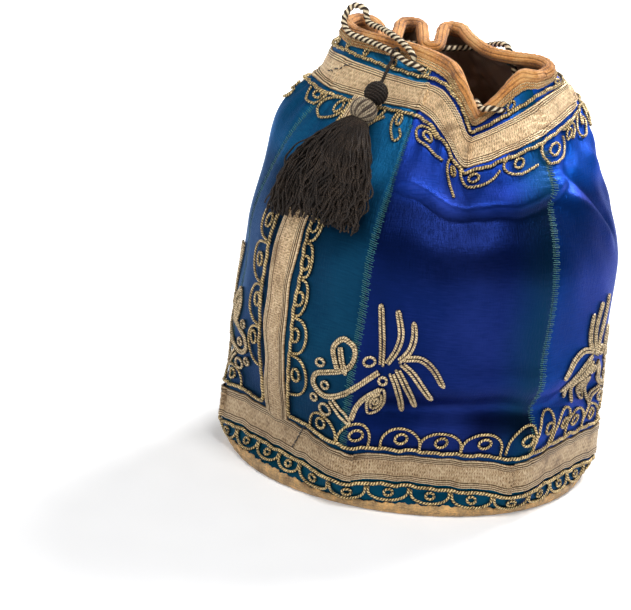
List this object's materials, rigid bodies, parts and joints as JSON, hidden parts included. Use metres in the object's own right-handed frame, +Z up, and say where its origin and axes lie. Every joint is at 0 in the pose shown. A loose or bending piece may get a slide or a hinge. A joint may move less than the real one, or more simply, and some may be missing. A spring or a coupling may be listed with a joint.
{
  "type": "tefillin bag",
  "caption": "Tall round drawstring bag of blue silk satin with woven metal braid bands, gathered bound mouth, threaded cord and hanging tassel.",
  "frame": {"origin": "middle of the base's underside, on the surface the bag stands on", "axes": "+Z up through the mouth, -Y out of the front, +X to the right as seen from the front"},
  "size_m": [0.1725, 0.1674, 0.2028],
  "materials": {
    "silk_left": "teal blue silk satin",
    "silk_front": "royal blue silk satin",
    "silk_right": "bright blue silk satin",
    "lining": "patterned brown and pink cotton",
    "base": "dark blue cloth",
    "board": "stiff pasteboard",
    "braid": "galon woven with gilt thread",
    "border_cord": "couched gilt cord",
    "binding": "worn tan tape with gilt thread",
    "drawstring": "two-ply cream and dark brown cord",
    "tassel": "dark brown silk strands",
    "tassel_head": "ribbed cream and brown thread"
  },
  "bodies": {
    "bag": {"silk_panel_1": "silk_left", "silk_panel_2": "silk_front", "silk_panel_3": "silk_right", "silk_panel_4": "silk_left", "silk_panel_5": "silk_front", "silk_panel_6": "silk_right", "lining": "lining", "lining_base": "lining", "base_board": "board", "base_cover": "base", "base_binding": "binding", "rim_binding": "binding", "upper_braid": "braid", "lower_braid": "braid", "side_braid_front": "braid", "side_braid_back": "braid", "lower_border_cord": "border_cord", "upper_border_cord": "border_cord", "frame_cord_right": "border_cord", "frame_cord_left": "border_cord", "drawstring": "drawstring", "drawstring_knot": "drawstring"},
    "tassel_link": {"tassel_loop": "tassel", "tassel_cord": "tassel"},
    "tassel": {"tassel_knob": "tassel", "tassel_collar": "tassel_head", "tassel_skirt": "tassel"}
  },
  "joints": [
    {"name": "tassel_lift", "type": "hinge", "parent": "bag", "child": "tassel_link", "pos_m": [-0.0234, -0.01993, 0.18677], "axis": [-0.7566, 0.6026, 0.2538], "range_deg": [0, 100]},
    {"name": "tassel_swing", "type": "hinge", "parent": "tassel_link", "child": "tassel", "pos_m": [-0.02909, -0.03549, 0.17192], "axis": [-0.5436, -0.6364, 0.5472], "range_deg": [-25, 25]}
  ]
}
